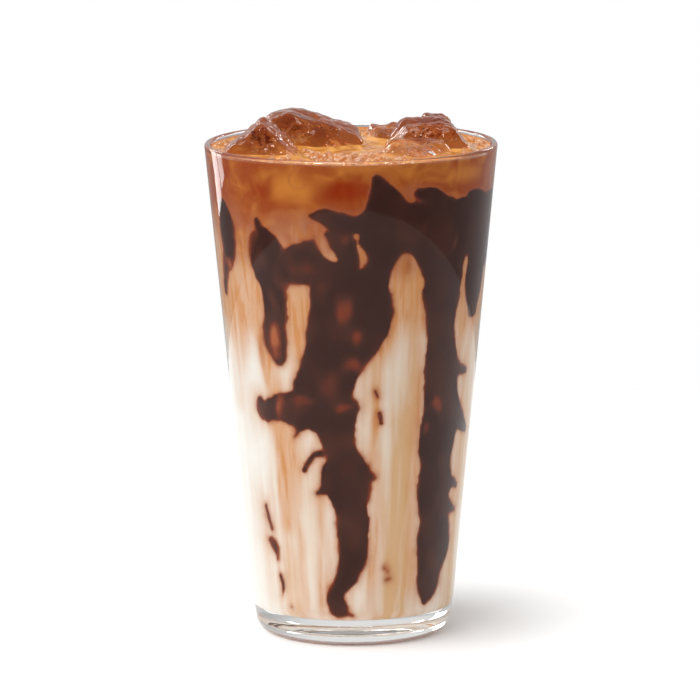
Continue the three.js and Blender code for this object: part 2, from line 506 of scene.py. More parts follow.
@dataclass(frozen=True)
class DrinkFinish:
    """Milk and coffee as they show through the wall, streaked and clouded where they meet.

    Attributes:
        cream: The whitest milk.
        tan: Milk streaked with coffee.
        rust: The warmest streaks.
        coffee: Coffee with some milk.
        caramel: Its paler clouds.
        rosy: Its duller clouds.
        amber: Coffee with no milk, in front of ice.
        film: A thin film of chocolate.
        surface: The drink's top.
        foam: Its paler, frothy places.
        deep: The drink round the sunk part of the ice, darker low down as painted shade.
        glow: Its painted light higher up, where light gets through to it.
        painted_glow: Strength of the painted glow that the drink there gives off, standing in for light it
            passes on from all round.
        painted_shade_level: Height up to which the painted shade stays full, before noise lifts it.
        painted_light_level: Height from which the painted light is full.
        shade_wobble: How far noise lifts the edge between the painted shade and the painted light.
        ior: Refractive index.
    """

    cream: Colour = tone(246, 243, 236)
    tan: Colour = tone(220, 180, 137)
    rust: Colour = tone(214, 148, 92)
    coffee: Colour = tone(160, 72, 31)
    caramel: Colour = tone(211, 131, 55)
    rosy: Colour = tone(176, 104, 68)
    amber: Colour = tone(150, 48, 9)
    film: Colour = tone(166, 90, 54)
    surface: Colour = tone(172, 104, 40)
    foam: Colour = tone(212, 150, 76)
    deep: Colour = tone(152, 88, 46)
    glow: Colour = tone(238, 174, 98)
    painted_glow: float = 0.15
    painted_shade_level: float = 143.0
    painted_light_level: float = 156.0
    shade_wobble: float = 14.0
    ior: float = 1.34

    def material(self, name: str) -> bpy.types.Material:
        """Makes the material.

        Args:
            name: The material's name.

        Returns:
            The material.
        """
        material, nodes, shader = new_material(name)
        streaks = nodes.span(nodes.grain((210, 210, 9), 3.0, 0.4), 0.34, 0.68)
        threads = nodes.span(nodes.grain((560, 560, 20), 3.0, 0.3), 0.42, 0.72)
        clouds = nodes.grain((95, 95, 110), 3.0, 1.2)
        tan_share = nodes.math("MULTIPLY", nodes.attribute("tan"), nodes.span(streaks, 0, 1, 0.7, 1.15))
        colour = nodes.mix(tan_share, self.cream, self.tan)
        rust_share = nodes.math("MULTIPLY", nodes.attribute("rust"), nodes.span(threads, 0, 1, 0.78, 1.12))
        colour = nodes.mix(rust_share, colour, self.rust)
        brew = nodes.mix(nodes.span(clouds, 0.4, 0.8, 0.0, 0.75), self.coffee, self.caramel)
        brew = nodes.mix(nodes.attribute("rosy"), brew, self.rosy)
        brew = nodes.mix(nodes.attribute("pale"), brew, self.caramel)
        brew = nodes.mix(nodes.attribute("amber"), brew, self.amber)
        colour = nodes.mix(nodes.attribute("coffee"), colour, brew)
        film_share = nodes.math("MULTIPLY", nodes.attribute("film"), nodes.span(streaks, 0, 1, 0.7, 1.0))
        colour = nodes.mix(film_share, colour, self.film)
        frothy = nodes.span(nodes.grain((170, 170, 170), 4.0, 0.8), 0.4, 0.66)
        froth = nodes.mix(frothy, self.surface, self.foam)
        # Painted shade and light: round the sunk ice the drink is darker low down and lighter higher up, and
        # noise wobbles where the change falls.
        shade_wobble_noise = nodes.grain((120, 120, 60), 3.0, 0.8)
        lifted = nodes.math("MULTIPLY_ADD", shade_wobble_noise, self.shade_wobble * MM, nodes.height())
        lit = nodes.span(lifted, self.painted_shade_level * MM, self.painted_light_level * MM)
        hollow = nodes.mix(lit, self.deep, self.glow)
        side, top = nodes.attribute("side"), nodes.attribute("top")
        inner = nodes.mix(top, hollow, froth)
        nodes.set(shader.inputs["Base Color"], nodes.mix(side, inner, colour))
        # Painted glow: the drink round the sunk ice gives off light of its own, standing in for light passed
        # on through it.
        nodes.set(shader.inputs["Emission Color"], hollow)
        within = nodes.math("MULTIPLY", nodes.math("SUBTRACT", 1.0, side), nodes.math("SUBTRACT", 1.0, top))
        nodes.set(shader.inputs["Emission Strength"], nodes.math("MULTIPLY", within, self.painted_glow))
        nodes.set(shader.inputs["Roughness"], nodes.span(side, 0, 1, 0.09, 0.6))
        nodes.set(shader.inputs["Specular IOR Level"], nodes.span(side, 0, 1, 0.22, 0.0))
        shader.inputs["IOR"].default_value = self.ior
        ripple = nodes.bump(nodes.grain((210, 210, 210), 2.0), 0.35)
        nodes.set(shader.inputs["Normal"], ripple)
        return material


@dataclass(frozen=True)
class SauceFinish:
    """Dark chocolate sauce against the glass, redder where it is thin.

    Attributes:
        thick: Colour of the thickest sauce.
        body: Colour of most of it.
        thin: Colour near its edges.
        edge: Colour where it runs out.
    """

    thick: Colour = tone(60, 33, 28)
    body: Colour = tone(77, 43, 34)
    thin: Colour = tone(128, 58, 38)
    edge: Colour = tone(176, 98, 58)

    def material(self) -> bpy.types.Material:
        """Makes the material.

        Returns:
            The material.
        """
        material, nodes, shader = new_material("chocolate_sauce")
        depth = nodes.attribute("depth")
        mottle = nodes.grain((260, 260, 120), 4.0, 0.6)
        uneven = nodes.math("MULTIPLY_ADD", nodes.math("SUBTRACT", mottle, 0.5), 0.3, depth)
        colour = nodes.mix(nodes.span(uneven, 0.0, 0.3), self.edge, self.thin)
        colour = nodes.mix(nodes.span(uneven, 0.22, 0.62), colour, self.body)
        colour = nodes.mix(nodes.span(uneven, 0.6, 1.0), colour, self.thick)
        nodes.set(shader.inputs["Base Color"], colour)
        nodes.set(shader.inputs["Roughness"], nodes.span(mottle, 0.3, 0.7, 0.35, 0.5))
        shader.inputs["Specular IOR Level"].default_value = 0.0
        return material


@dataclass(frozen=True)
class IceFinish:
    """Clear wet ice that the coffee shows through.

    Attributes:
        ior: Refractive index of ice.
        stain: Colour that light keeps on its way through.
        density: How fast light takes on the stain, per metre.
        ice_lower_tint: Colour of its face lower down, near the drink.
        ice_upper_tint: Darker brown colour of its face higher up.
        ice_lower_tint_level: Height up to which its face keeps the lower colour, before its mottling lifts
            it.
        ice_upper_tint_level: Height from which its face takes the darker colour.
        mottle: How far its mottling lifts it.
        gleam: Colour of what its wet face mirrors.
        ripple: Depth of the melted ripples.
    """

    ior: float = 1.31
    stain: Colour = (0.5, 0.27, 0.17, 1.0)
    density: float = 42.0
    ice_lower_tint: Colour = (1.0, 0.9, 0.76, 1.0)
    ice_upper_tint: Colour = (0.4, 0.16, 0.07, 1.0)
    ice_lower_tint_level: float = 151.0
    ice_upper_tint_level: float = 157.0
    mottle: float = 9.0
    gleam: Colour = (0.95, 0.76, 0.62, 1.0)
    ripple: float = 1.0

    def material(self) -> bpy.types.Material:
        """Makes the material.

        Returns:
            The material.
        """
        material, nodes, shader = new_material("wet_ice")
        mottling = nodes.grain((120, 120, 120), 3.0, 0.8)
        lifted = nodes.math("MULTIPLY_ADD", mottling, self.mottle * MM, nodes.height())
        # Its face turns darker brown higher up, and mottling wobbles where the change falls.
        coat = nodes.span(lifted, self.ice_lower_tint_level * MM, self.ice_upper_tint_level * MM)
        nodes.set(shader.inputs["Base Color"], nodes.mix(coat, self.ice_lower_tint, self.ice_upper_tint))
        shader.inputs["Transmission Weight"].default_value = 1.0
        shader.inputs["IOR"].default_value = self.ior
        frosted = nodes.span(nodes.grain((140, 140, 140), 3.0), 0.45, 0.75, 0.0, 0.03)
        nodes.set(shader.inputs["Roughness"], frosted)
        shader.inputs["Specular Tint"].default_value = self.gleam
        nodes.set(shader.inputs["Normal"], nodes.bump(nodes.grain((150, 150, 150), 2.5, 0.8), self.ripple))
        absorption = nodes.add("ShaderNodeVolumeAbsorption")
        absorption.inputs["Color"].default_value = self.stain
        absorption.inputs["Density"].default_value = self.density
        output = next(n for n in nodes.tree.nodes if n.type == "OUTPUT_MATERIAL")
        nodes.set(output.inputs["Volume"], absorption.outputs[0])
        return material


@dataclass(frozen=True)
class FoamFinish:
    """Small bubbles of coffee foam: thin, clear and bright at their edges.

    Attributes:
        film: Colour of the bubbles' film.
        bright: Colour of its brighter places.
        ior: Refractive index.
        clear: Share of light that passes through the film.
    """

    film: Colour = tone(214, 158, 104)
    bright: Colour = (0.9, 0.72, 0.5, 1.0)
    ior: float = 1.4
    clear: float = 0.6

    def material(self) -> bpy.types.Material:
        """Makes the material.

        Returns:
            The material.
        """
        material, nodes, shader = new_material("foam_bubbles")
        tint = nodes.mix(nodes.span(nodes.grain((900, 900, 900), 2.0), 0.4, 0.7), self.film, self.bright)
        nodes.set(shader.inputs["Base Color"], tint)
        shader.inputs["Roughness"].default_value = 0.03
        shader.inputs["IOR"].default_value = self.ior
        shader.inputs["Transmission Weight"].default_value = self.clear
        return material


@dataclass(frozen=True)
class FloorFinish:
    """A plain pale floor, barely mottled.

    Attributes:
        pale: Colour of the floor.
        mottled: Colour of its faint mottling.
    """

    pale: Colour = (0.93, 0.93, 0.93, 1.0)
    mottled: Colour = (0.91, 0.91, 0.91, 1.0)

    def material(self) -> bpy.types.Material:
        """Makes the material.

        Returns:
            The material.
        """
        material, nodes, shader = new_material("pale_floor")
        nodes.set(shader.inputs["Base Color"], nodes.mix(nodes.grain((3, 3, 3)), self.pale, self.mottled))
        shader.inputs["Roughness"].default_value = 0.9
        shader.inputs["Specular IOR Level"].default_value = 0.0
        return material


@dataclass(frozen=True)
class Run:
    """One run of sauce along the wall.

    Attributes:
        stations: (angle, height, half width) of each station.
    """

    stations: tuple[Station, ...]

    def smoothed(self, steps: int = 4) -> np.ndarray:
        """Stations of a smooth curve through the run's own.

        Args:
            steps: Steps from each station to the next.

        Returns:
            One row of angle, height and half width for each.
        """
        own = np.array(self.stations)
        padded = np.vstack([2 * own[0] - own[1], own, 2 * own[-1] - own[-2]])
        rows = [own[:1]]
        for before, start, stop, after in zip(padded, padded[1:], padded[2:], padded[3:]):
            for t in np.linspace(0, 1, steps + 1)[1:]:
                bend = (2 * before - 5 * start + 4 * stop - after) * t**2
                twist = (3 * start - before - 3 * stop + after) * t**3
                rows.append(((2 * start + (stop - before) * t + bend + twist) / 2)[None])
        return np.vstack(rows)

    def turned(self, angle: float, lift: float) -> "Run":
        """The same run further round the glass and higher."""
        return Run(tuple((a + angle, z + lift, w) for a, z, w in self.stations))

    def within(self, angle: np.ndarray, height: np.ndarray) -> np.ndarray:
        """How far inside the run's edge points of the wall lie.

        Args:
            angle: Angles round the glass.
            height: Heights above the table.

        Returns:
            Millimetres inside the edge, negative outside it.
        """
        inside = np.full(angle.shape, -1000.0)
        stations = self.smoothed()
        for (a0, z0, w0), (a1, z1, w1) in zip(stations, stations[1:]):
            step = SHAPE.inside((z0 + z1) / 2) * math.pi / 180
            x, z = turn_between(angle, a0) * step, height - z0
            dx, dz = (a1 - a0) * step, z1 - z0
            along = np.clip((x * dx + z * dz) / max(dx * dx + dz * dz, 1e-9), 0.0, 1.0)
            gap = np.hypot(x - along * dx, z - along * dz)
            inside = np.maximum(inside, np.maximum(w0 + (w1 - w0) * along, 0.05) - gap)
        return inside


@dataclass(frozen=True)
class Patch:
    """A soft oval patch on the wall.

    Attributes:
        angle: Angle of its middle.
        height: Height of its middle.
        half_angle: Half its width, in degrees.
        half_height: Half its height.
        strength: Its strength in the middle.
        soft: Share of its half size over which it fades out.
    """

    angle: float
    height: float
    half_angle: float
    half_height: float
    strength: float = 1.0
    soft: float = 0.6

    def at(self, angle: np.ndarray, height: np.ndarray) -> np.ndarray:
        """The patch's strength at points of the wall.

        Args:
            angle: Angles round the glass.
            height: Heights above the table.

        Returns:
            Strengths from 0 to the patch's own.
        """
        x = turn_between(angle, self.angle) / self.half_angle
        z = (height - self.height) / self.half_height
        return self.strength * ease(1.0, 1.0 - self.soft, np.hypot(x, z))


@dataclass(frozen=True)
class Ring:
    """The round outline of a bubble against the wall.

    Attributes:
        angle: Angle of its middle.
        height: Height of its middle.
        radius: Its radius.
        width: Width of its outline as a share of the radius.
        strength: Strength of its outline.
    """

    angle: float
    height: float
    radius: float
    width: float = 0.13
    strength: float = 0.6

    def at(self, angle: np.ndarray, height: np.ndarray) -> np.ndarray:
        """The outline's strength at points of the wall.

        Args:
            angle: Angles round the glass.
            height: Heights above the table.

        Returns:
            Strengths from 0 to the outline's own.
        """
        across = turn_between(angle, self.angle) * SHAPE.inside(self.height) * math.pi / 180
        away = np.hypot(across, height - self.height) / self.radius
        return self.strength * np.exp(-(((away - 1.0) / self.width) ** 2))


@dataclass(frozen=True)
class Column:
    """A soft upright band on the wall.

    Attributes:
        angle: Angle of its middle.
        half_angle: Half its width, in degrees.
        bottom: Where it starts.
        top: Where it ends.
        strength: Its strength in the middle.
        fade: Height over which its ends fade out.
    """

    angle: float
    half_angle: float
    bottom: float
    top: float
    strength: float
    fade: float = 8.0

    def at(self, angle: np.ndarray, height: np.ndarray) -> np.ndarray:
        """The band's strength at points of the wall.

        Args:
            angle: Angles round the glass.
            height: Heights above the table.

        Returns:
            Strengths from 0 to the band's own.
        """
        across = np.exp(-((turn_between(angle, self.angle) / self.half_angle) ** 2))
        up = ease(self.bottom - self.fade, self.bottom, height) * ease(self.top + self.fade, self.top, height)
        return self.strength * across * up


SHOULDER = Run((
    (-33, 116, 5), (-20, 118, 6.5), (-2, 121, 9), (16, 125, 10.5), (40, 125, 11.5), (62, 124, 12),
    (82, 124, 11),
))
LEFT_TONGUE = Run((
    (-43, 130, 0.8), (-41.5, 126, 3), (-39.5, 120, 7), (-37, 110, 4.8), (-36.5, 100, 4.2), (-37.5, 95, 4.7),
    (-36, 89, 2.6),
))
MIDDLE_TRUNK = Run((
    (-1, 117, 12), (-0.5, 108, 12.2), (-1, 100, 12), (-6, 93, 10), (-11, 87, 8.8), (-14, 80, 9),
))
LOWER_TRUNK = Run((
    (-10, 72, 7), (-7, 64, 5.4), (-4.5, 58, 5.4), (-3, 52, 7.6), (-1, 45, 5.4), (0.3, 37, 4.6), (0, 29, 4.2),
    (-3.5, 23.5, 3.5), (-9, 18, 2.6), (-9.5, 14.5, 2.6), (-8, 12.4, 2.4),
))
RIGHT_COLUMN = Run((
    (43, 120, 9), (43.5, 110, 8), (44.5, 102, 6.4), (45, 95, 5.9), (46.5, 87, 6.9), (48, 79, 7),
    (49.5, 72, 8), (49, 63, 7.8), (48, 55, 6.8), (49, 46, 7), (49.5, 38, 6.2), (52.5, 30.5, 7.6),
    (50, 22.5, 5.6), (49, 17.5, 4.4), (46.5, 13.8, 1.8),
))
SHOULDER_LOBES = (
    Run(((-17, 132.6, 1.2), (-11, 132.3, 2.8), (-3, 129.5, 4))),
    Run(((10.5, 143.6, 1.4), (13, 139, 4.2), (15, 131, 8))),
    Run(((28.5, 138.8, 1.8), (35, 137.4, 3), (43, 133.5, 3.4))),
    Run(((57, 136.6, 1.6), (63, 135.2, 2.8), (72, 132.5, 3.4), (82, 132, 3.6))),
)
SHOULDER_TAIL = Run(((84, 123, 9), (91, 119, 6), (95, 112, 3.4), (96, 104, 1.6), (96, 99, 0.6)))
SPURS = (
    Run((
        (-50, 74.8, 1.6), (-47.5, 71.5, 2.8), (-38, 73.5, 4), (-27, 73, 5.8), (-14, 74, 6.6), (-4, 74.5, 4.6),
    )),
    Run(((-13, 60.5, 1.2), (-20, 59.6, 0.9), (-25.5, 54.8, 0.5))),
    Run(((-11, 50.5, 2.4), (-18.5, 48, 0.6))),
    Run(((3, 53.4, 2.6), (10.5, 53, 0.7))),
    Run(((-26, 68, 1.8), (-30, 64.8, 0.5))),
    Run(((56, 84, 2.6), (67, 82, 0.7))),
    Run(((60, 71, 3), (67, 66.5, 2.4), (75, 63.4, 0.9))),
    Run(((57, 49.5, 3), (69, 46.8, 0.8))),
    Run(((58, 41.5, 2.6), (69, 39.2, 0.7))),
    Run(((70, 122, 10), (69.5, 110, 6.8), (69, 102, 3.8))),
    Run(((-8, 12.4, 2.4), (-4, 10.9, 1.2), (-0.5, 10.2, 0.7))),
)
DRIPS = (
    Run(((-53, 42, 0.6), (-51, 38, 0.9), (-49.8, 35.5, 0.5))),
    Run(((-51, 31.5, 0.8), (-48, 29.5, 1.6), (-47, 26, 0.7))),
    Run(((-46, 21, 0.8), (-44.5, 18, 0.9), (-45.5, 15, 0.5))),
    Run(((-39.2, 11.8, 0.4), (-38, 11.5, 0.4))),
    Run(((18, 24.5, 0.35), (20, 23.5, 0.4))),
    Run(((19, 21, 0.4), (21.5, 21.2, 0.35))),
    Run(((11, 79.5, 0.3), (12.2, 77.5, 0.4))),
    Run(((13.2, 72.5, 0.4), (14.2, 69.5, 0.5))),
)
LEFT_EDGE = Run(((-66, 131.5, 3.4), (-65, 126, 5.4), (-65, 119, 4.2), (-70, 113, 2.4), (-73, 106, 1.2)))


class Side(Enum):
    """Which coat of sauce a piece is, by the solid that it stands for."""

    FRONT = "sauce_front"
    BACK = "sauce_back"
    LEFT = "sauce_left"

    @property
    def runs(self) -> tuple[Run, ...]:
        """The runs that make up this coat."""
        return {
            Side.FRONT: (
                SHOULDER, LEFT_TONGUE, MIDDLE_TRUNK, LOWER_TRUNK, RIGHT_COLUMN, *SHOULDER_LOBES,
                SHOULDER_TAIL, *SPURS, *DRIPS,
            ),
            Side.BACK: (
                SHOULDER.turned(155, -2), SHOULDER_TAIL.turned(155, -2),
                *(lobe.turned(155, -2) for lobe in SHOULDER_LOBES),
                RIGHT_COLUMN.turned(100, -1),
                LOWER_TRUNK.turned(183, 24),
                LEFT_TONGUE.turned(-118, 0),
                MIDDLE_TRUNK.turned(184, 3),
            ),
            Side.LEFT: (LEFT_EDGE,),
        }[self]

    @property
    def reach(self) -> tuple[float, float]:
        """First and last angle that the coat's runs can reach."""
        return {Side.FRONT: (-62.0, 105.0), Side.BACK: (100.0, 268.0), Side.LEFT: (-84.0, -50.0)}[self]


@dataclass
class SauceCoat:
    """A coat of chocolate sauce on the inside of the wall.

    Attributes:
        side: Which coat it is.
        windows: Thin places that light shows through.
        gaps: Places where milk has parted it.
        thickness: Depth of the coat from the wall.
        bite: How far it reaches into the wall, so that no gap shows.
        join: Distance over which neighbouring runs flow together.
        edge: Distance in from its edge over which it thickens.
        step_round: Size of the mesh's cells round the wall.
        step_up: Size of the mesh's cells up the wall.
    """

    side: Side
    windows: tuple[Patch, ...] = ()
    gaps: tuple[Run, ...] = ()
    thickness: float = 1.2
    bite: float = 0.09
    join: float = 1.6
    edge: float = 1.3
    step_round: float = 0.42
    step_up: float = 0.42

    def within(self, angle: np.ndarray, height: np.ndarray) -> np.ndarray:
        """How far inside the coat's edge points of the wall lie, with the edge's natural wobble.

        Args:
            angle: Angles round the glass.
            height: Heights above the table.

        Returns:
            Millimetres inside the edge, negative outside it.
        """
        total = np.full(angle.shape, -1000.0)
        for run in self.side.runs:
            own = run.within(angle, height)
            blend = np.maximum(self.join - np.abs(total - own), 0.0) / self.join
            total = np.maximum(total, own) + blend * blend * self.join / 4
        for gap in self.gaps:
            total = np.minimum(total, -gap.within(angle, height))
        total += 0.55 * WallNoise(11, 44, 5.5).at(angle, height)
        total += 0.28 * WallNoise(12, 110, 2.4).at(angle, height)
        total += 0.2 * WallNoise(18, 210, 1.3).at(angle, height)
        room = np.minimum(height - SHAPE.floor - 1.0, SHAPE.drink_level - 0.6 - height)
        return np.minimum(total, room + 0.3)

    def depth(self, angle: np.ndarray, height: np.ndarray, within: np.ndarray) -> np.ndarray:
        """Thickness of the coat as a share of its greatest.

        Args:
            angle: Angles round the glass.
            height: Heights above the table.
            within: Millimetres inside the edge.

        Returns:
            Shares from 0 to 1.
        """
        blotch = WallNoise(13, 34, 9.0).at(angle, height) + 0.6 * WallNoise(14, 80, 4.0).at(angle, height)
        spread = self.edge * (1.0 + 0.5 * WallNoise(15, 60, 7.0).at(angle, height))
        thinner = 0.22 + 0.16 * ease(12.0, -20.0, turn_between(angle, 0.0))
        share = ease(-0.35, 1.0, within / spread) * (1.0 - thinner * np.clip(0.6 + blotch, 0.0, 1.4))
        sway = 2.6 * WallNoise(16, 70, 4.5).at(angle, height)
        lift = 1.8 * WallNoise(17, 60, 5.5).at(angle, height)
        for window in self.windows:
            share = share * (1.0 - window.at(angle + sway, height + lift))
        return share

    def build(self) -> bpy.types.Object:
        """Makes the coat: a skin against the glass and a rounded back, meeting at its edge.

        Returns:
            The coat's object.
        """
        first, last = self.side.reach
        mean = SHAPE.inside(SHAPE.height / 2) * math.pi / 180
        columns = np.linspace(first, last, int((last - first) * mean / self.step_round))
        rows = np.arange(SHAPE.floor, SHAPE.drink_level, self.step_up)
        angle, height = np.meshgrid(columns, rows)
        within = self.within(angle, height)
        inside = within > 0
        cell = inside[:-1, :-1] | inside[1:, :-1] | inside[:-1, 1:] | inside[1:, 1:]
        used = np.zeros_like(inside)
        for shift in ((slice(None, -1), slice(None, -1)), (slice(1, None), slice(None, -1)),
                      (slice(None, -1), slice(1, None)), (slice(1, None), slice(1, None))):
            used[shift] |= cell
        rim = used & ~inside
        slope_up, slope_round = np.gradient(within, rows, columns * mean)
        steep = np.maximum(slope_up**2 + slope_round**2, 0.2)
        limit = 1.1 * self.step_up
        angle = angle - np.where(rim, np.clip(within * slope_round / steep, -limit, limit) / mean, 0.0)
        height = height - np.where(rim, np.clip(within * slope_up / steep, -limit, limit), 0.0)
        share = np.where(rim, 0.0, self.depth(angle, height, within))
        front_number = np.cumsum(used).reshape(used.shape) - 1
        count = int(used.sum())
        back_number = np.where(rim, front_number, count + np.cumsum(inside).reshape(inside.shape) - 1)
        wall = SHAPE.contents(height) + self.bite
        back_radius = wall - self.bite - 0.02 - self.thickness * np.maximum(share, 0.15)

        def place(radius: np.ndarray, mask: np.ndarray) -> np.ndarray:
            """Vertices of the chosen grid points at a radius."""
            turn = np.radians(angle[mask])
            return np.stack([radius[mask] * np.sin(turn), -radius[mask] * np.cos(turn), height[mask]], 1)

        points = np.vstack([place(wall, used), place(back_radius, inside)])
        faces = []
        for number, order in ((front_number, (0, 1, 2, 3)), (back_number, (3, 2, 1, 0))):
            corners = (number[:-1, :-1], number[:-1, 1:], number[1:, 1:], number[1:, :-1])
            faces += list(zip(*(corners[k][cell].tolist() for k in order)))
        piece = mesh_piece(self.side.value + "_coat", points, faces)
        paint(piece, "depth", np.concatenate([share[used], share[inside]]))
        return piece

    def dress(self, piece: bpy.types.Object, material: bpy.types.Material) -> None:
        """Gives the coat its finish and its place in the part.

        Args:
            piece: The coat.
            material: The sauce's material.
        """
        piece.data.materials.append(material)
        piece.visible_shadow = False
        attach(piece, BODY)
        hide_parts(self.side.value)


COATS = (
    SauceCoat(Side.FRONT, windows=(
        Patch(-38, 95.5, 6.5, 5.2, 1.0, 0.8), Patch(-36, 106, 4, 5, 0.5, 0.9), Patch(-37, 91, 4, 3, 0.6, 0.9),
        Patch(-3.5, 104.5, 5, 7, 0.7, 0.9), Patch(2.5, 96.5, 6, 5, 0.7, 0.9), Patch(0, 87.5, 9, 5, 0.7, 0.9),
        Patch(45.5, 73, 7.5, 3.6, 0.66, 0.8), Patch(38.5, 66, 5, 3, 0.62, 0.8), Patch(50, 25, 7, 3, 0.3),
        Patch(-5, 75, 9, 3.4, 0.6, 0.9), Patch(-38, 73.5, 5.5, 6, 0.8, 0.9),
        Patch(-24, 75.5, 9, 3, 0.55, 0.9),
        Patch(-47, 124, 4, 6, 0.5), Patch(-22, 116, 9, 5, 0.5, 0.9), Patch(-4, 126, 6, 4, 0.5, 0.9),
        Patch(49, 123, 3, 2, 0.35), Patch(-30, 112, 8, 4, 0.55, 0.9), Patch(-42, 118, 5, 6, 0.4, 0.9),
        Patch(-13, 112, 7, 4, 0.45, 0.9), Patch(-16, 129, 6, 2.4, 0.4, 0.9),
    ), gaps=(
        Run(((23, 119.6, 0.6), (23.5, 117, 3.2), (24.5, 112, 5.4))),
        Run(((2, 126.5, 0.4), (3, 123.5, 0.6), (4.6, 119.8, 1.1), (4.2, 117.5, 0.4))),
        Run(((-13.5, 126.5, 1.0), (-11, 122.5, 1.3), (-7, 119.6, 0.7))),
        Run(((58.5, 117, 0.4), (57.5, 110, 1.1), (58.5, 104, 1.6))),
    )),
    SauceCoat(Side.BACK, windows=(
        Patch(180, 100, 5, 4, 0.85), Patch(150, 70, 5, 3, 0.6), Patch(205, 118, 6, 2.5, 0.5),
    )),
    SauceCoat(Side.LEFT, windows=(Patch(-66, 117, 6, 2.5, 0.7),), edge=3.0),
)


@dataclass
class WallPaint:
    """How milk, coffee and films of chocolate lie along the wall.

    Attributes:
        coats: The coats of sauce, which leave a film round them.
        tan: Bands of milk streaked with coffee.
        rust: Bands with the warmest streaks.
        amber: Patches of clear coffee in front of ice.
        pale: Paler clouds in the coffee.
        rosy: Duller clouds in the coffee.
        dips: Places where coffee reaches lower.
        rings: Bubbles against the wall.
    """

    coats: tuple[SauceCoat, ...]
    tan: tuple[Column, ...] = (
        Column(25, 17, 9, 116, 0.95), Column(-24, 6, 84, 112, 0.7), Column(-37, 12, 9, 80, 0.6),
        Column(-17, 9, 9, 62, 0.45), Column(58, 4, 80, 116, 0.8), Column(76, 16, 9, 100, 0.95),
        Column(-68, 8, 74, 122, 0.5), Column(2, 8, 78, 94, 0.8), Column(-48, 7, 100, 124, 0.4),
        Column(120, 20, 9, 110, 0.6), Column(165, 16, 9, 118, 0.6), Column(215, 18, 9, 105, 0.5),
        Column(255, 14, 30, 118, 0.4),
    )
    rust: tuple[Column, ...] = (
        Column(12, 3, 9, 96, 0.45), Column(33, 4, 20, 120, 0.45), Column(-40, 4, 40, 92, 0.75),
        Column(-31, 4, 9, 70, 0.5), Column(-16, 3, 14, 46, 0.4), Column(-27, 3, 84, 112, 0.3),
        Column(66, 4, 40, 96, 0.35), Column(130, 4, 9, 100, 0.45), Column(172, 4, 9, 90, 0.4),
        Column(222, 5, 20, 100, 0.4), Column(-66, 3, 90, 118, 0.4), Column(24, 10, 104, 122, 0.8),
        Column(-45, 3, 84, 98, 1.0), Column(-36, 5, 40, 66, 0.6), Column(-51, 6, 98, 116, 1.0),
    )
    amber: tuple[Patch, ...] = (
        Patch(-2, 140.5, 13, 5.2, 0.95, 0.7), Patch(-58, 143, 9, 3.5, 0.45, 0.9),
        Patch(-42, 139, 8, 5, 0.4, 0.9), Patch(160, 140, 14, 5, 0.8, 0.7), Patch(230, 139, 12, 5, 0.7, 0.7),
    )
    pale: tuple[Patch, ...] = (
        Patch(-23, 141, 14, 8, 0.95, 1.0), Patch(56, 143, 16, 4.5, 0.7, 1.0),
        Patch(24, 145, 12, 3.5, 0.5, 1.0), Patch(2, 147, 20, 3, 0.6, 1.0),
        Patch(195, 141, 13, 5, 0.7, 0.8), Patch(110, 142, 12, 5, 0.6, 0.8),
    )
    rosy: tuple[Patch, ...] = (
        Patch(-25, 130, 16, 6, 0.8, 0.8), Patch(26, 139, 9, 5, 0.7, 0.9), Patch(78, 142, 12, 8, 0.8, 0.9),
        Patch(-55, 130, 9, 7, 0.5, 0.9), Patch(140, 130, 20, 7, 0.7, 0.8), Patch(240, 129, 18, 7, 0.7, 0.8),
    )
    dips: tuple[Patch, ...] = (
        Patch(24, 118, 10, 8, 0.75, 1.0), Patch(-12, 123, 8, 5, 0.7, 1.0), Patch(-45, 90, 3.5, 7, 0.5, 1.0),
    )
    rings: tuple[Ring, ...] = (
        Ring(-22, 143.2, 2.7), Ring(-44, 144.2, 1.3), Ring(33, 144, 1.1), Ring(170, 143, 2.4),
        Ring(215, 144, 1.5),
    )

    def masks(self, angle: np.ndarray, height: np.ndarray) -> dict[str, np.ndarray]:
        """What lies at points of the wall.

        Args:
            angle: Angles round the glass.
            height: Heights above the table.

        Returns:
            Strengths from 0 to 1 under the names that the drink's material reads.
        """
        drift = WallNoise(21, 40, 30).at(angle, height)
        streak = WallNoise(22, 130, 24).at(angle, height)
        curl = WallNoise(23, 36, 8).at(angle, height)

        def total(marks: tuple[Patch | Column, ...], wobble: float) -> np.ndarray:
            """The marks' strengths together, with streaky edges."""
            shares = 1.0 - np.prod([1.0 - mark.at(angle + wobble * curl, height) for mark in marks], axis=0)
            return np.clip(shares * (1.0 + 0.25 * streak + 0.2 * drift), 0.0, 1.0)

        warm = ease(80, 105, height + 5.0 * drift + 4.0 * streak)
        brew = np.maximum(ease(112, 136, height + 3.5 * curl + 2.0 * streak), total(self.dips, 3.0))
        near = np.max([coat.within(angle, height) for coat in self.coats], axis=0)
        fringe = np.exp(np.minimum(near, 0.0) / (0.55 + 0.25 * streak + 0.15 * curl))
        halo = np.exp(np.minimum(near, 0.0) / (4.5 + 2.0 * streak))
        outlines = sum(ring.at(angle, height) for ring in self.rings)
        return {
            "tan": np.maximum(total(self.tan, 2.0), 0.55 * halo),
            "rust": np.clip(np.maximum(total(self.rust, 2.0), warm) + 0.5 * halo, 0.0, 1.0),
            "coffee": brew,
            "amber": total(self.amber, 5.0),
            "pale": total(self.pale, 5.0),
            "rosy": total(self.rosy, 5.0),
            "film": np.clip(fringe * (0.85 + 0.3 * curl) + outlines, 0.0, 1.0),
        }


class Layer(Enum):
    """The two layers of the drink, by the solid that each stands for."""

    MILK = "milk"
    COFFEE = "coffee"


